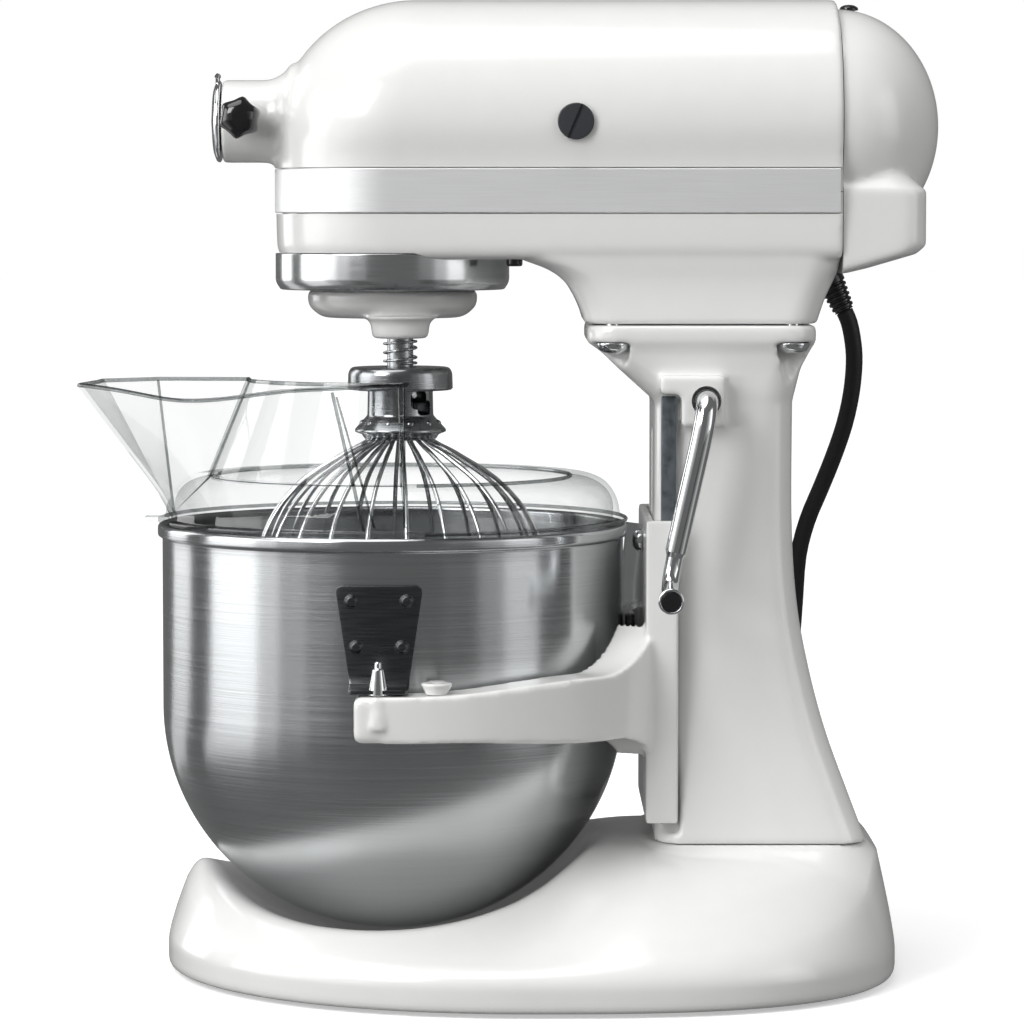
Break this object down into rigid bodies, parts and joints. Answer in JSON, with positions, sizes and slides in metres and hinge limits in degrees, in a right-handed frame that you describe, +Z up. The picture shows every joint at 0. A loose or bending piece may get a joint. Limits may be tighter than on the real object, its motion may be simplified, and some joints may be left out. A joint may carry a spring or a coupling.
{
  "type": "stand mixer",
  "caption": "Bowl-lift stand mixer with a planetary wire whisk, a steel bowl on a lifting yoke, a clear pouring shield, an attachment hub and a mains cord.",
  "frame": {"origin": "centre of the mixer's footprint on the table, under the middle of its box", "axes": "+Z up, -Y towards the attachment hub at the front, +X towards the bowl-lift lever"},
  "size_m": [0.398, 0.3698, 0.4204],
  "materials": {
    "enamel": "glossy enamel",
    "feet": "matt",
    "band": "brushed along its length",
    "rails": "satin",
    "chrome": "polished",
    "caps": "satin",
    "black": "glossy",
    "drive_steel": "machined",
    "wheel_brass": "machined",
    "motor_core": "laminated steel with copper windings",
    "board": "satin",
    "whisk_hub": "satin",
    "whisk_wire": "polished wire",
    "bowl_steel": "brushed round the bowl",
    "bracket_steel": "dark satin",
    "clear": "clear",
    "cord": "satin"
  },
  "bodies": {
    "stand": {"base": "enamel", "foot_1": "feet", "foot_2": "feet", "foot_3": "feet", "foot_4": "feet", "foot_5": "feet", "column": "enamel", "guide_rail_left": "rails", "guide_rail_right": "rails", "motor_housing": "enamel", "gear_case": "enamel", "rear_cover": "enamel", "rear_cover_screw": "black", "trim_band": "band", "brush_cap_left": "caps", "brush_cap_right": "caps", "flange_screw_1": "chrome", "flange_screw_2": "chrome", "flange_screw_3": "chrome", "flange_screw_4": "chrome", "drip_ring": "chrome", "ring_gear": "drive_steel", "motor_stator": "motor_core", "bearing_bracket": "rails", "control_board": "board", "strain_relief": "black", "power_cord": "cord", "cord_coil": "cord", "plug": "black"},
    "planetary": {"planetary_housing": "enamel", "center_shaft": "drive_steel", "center_gear": "drive_steel"},
    "beater": {"beater_shaft": "drive_steel", "beater_pinion": "drive_steel", "beater_spring": "drive_steel"},
    "whisk": {"whisk_hub": "whisk_hub", "whisk_wires": "whisk_wire"},
    "worm_gear": {"worm_wheel": "wheel_brass"},
    "rotor": {"armature": "motor_core"},
    "attachment_drive": {"hub_drive": "drive_steel"},
    "cover": {"hub_cover": "chrome"},
    "knob": {"hub_knob": "black"},
    "speed_control": {"speed_lever": "black"},
    "reset": {"reset_button": "black"},
    "lever": {"lift_shaft": "drive_steel", "lift_lever": "chrome"},
    "carriage": {"yoke": "enamel", "lift_link": "rails", "bowl_pin_left": "chrome", "bowl_pin_right": "chrome", "latch_spring": "chrome", "bowl": "bowl_steel", "latch_catch": "black", "bowl_bracket_left": "bracket_steel", "bowl_bracket_right": "bracket_steel"},
    "shield": {"pouring_shield": "clear", "pour_chute": "clear"},
    "left_lock": {"bowl_lock_left": "enamel"},
    "right_lock": {"bowl_lock_right": "enamel"}
  },
  "joints": [
    {"name": "planetary_spin", "type": "hinge", "parent": "stand", "child": "planetary", "pos_m": [0, -0.052, 0.287], "axis": [0, 0, 1], "continuous": true},
    {"name": "beater_spin", "type": "hinge", "parent": "planetary", "child": "beater", "pos_m": [0.02489, -0.04806, 0.287], "axis": [0, 0, 1], "continuous": true},
    {"name": "whisk_push", "type": "slide", "parent": "beater", "child": "whisk", "axis": [0, 0, 1], "range_m": [0, 0.006], "stiffness_N_per_m": 500, "deforming": ["beater_spring"]},
    {"name": "worm_gear_spin", "type": "hinge", "parent": "stand", "child": "worm_gear", "pos_m": [0.026, -0.0099, 0.342], "axis": [0, 0, 1], "continuous": true},
    {"name": "motor_spin", "type": "hinge", "parent": "stand", "child": "rotor", "pos_m": [0, 0.05, 0.368], "axis": [0, 1, 0], "continuous": true},
    {"name": "attachment_spin", "type": "hinge", "parent": "stand", "child": "attachment_drive", "pos_m": [0, -0.09, 0.368], "axis": [0, 1, 0], "continuous": true},
    {"name": "hub_cover_flip", "type": "hinge", "parent": "stand", "child": "cover", "pos_m": [0, -0.1278, 0.3876], "axis": [-1, 0, 0], "range_deg": [0, 100]},
    {"name": "hub_knob_turn", "type": "hinge", "parent": "stand", "child": "knob", "pos_m": [0.02, -0.1164, 0.369], "axis": [1, 0, 0], "continuous": true},
    {"name": "speed_slide", "type": "slide", "parent": "stand", "child": "speed_control", "axis": [0, 1, 0], "range_m": [0, 0.045]},
    {"name": "reset_press", "type": "slide", "parent": "stand", "child": "reset", "axis": [0, 0, 1], "range_m": [0, 0.002], "stiffness_N_per_m": 400},
    {"name": "bowl_lift", "type": "slide", "parent": "stand", "child": "carriage", "axis": [0, 0, 1], "range_m": [0, 0.0175]},
    {"name": "lift_handle", "type": "hinge", "parent": "stand", "child": "lever", "pos_m": [0.05, 0.0823, 0.249], "axis": [1, 0, 0], "range_deg": [0, 180]},
    {"name": "shield_turn", "type": "hinge", "parent": "carriage", "child": "shield", "pos_m": [0, -0.052, 0.202], "axis": [0, 0, 1], "range_deg": [-20, 20]},
    {"name": "left_lock_turn", "type": "hinge", "parent": "carriage", "child": "left_lock", "pos_m": [-0.115, -0.031, 0.132], "axis": [0, 0, -1], "range_deg": [0, 90]},
    {"name": "right_lock_turn", "type": "hinge", "parent": "carriage", "child": "right_lock", "pos_m": [0.115, -0.031, 0.132], "axis": [0, 0, 1], "range_deg": [0, 90]}
  ],
  "couplings": [
    {"joint": "beater_spin", "follows": "planetary_spin", "ratio": -3.6},
    {"joint": "worm_gear_spin", "follows": "planetary_spin", "ratio": -3.0769},
    {"joint": "motor_spin", "follows": "planetary_spin", "ratio": 18.462},
    {"joint": "attachment_spin", "follows": "planetary_spin", "ratio": -1},
    {"joint": "lift_handle", "follows": "bowl_lift", "rad_per_m": 179.52}
  ]
}
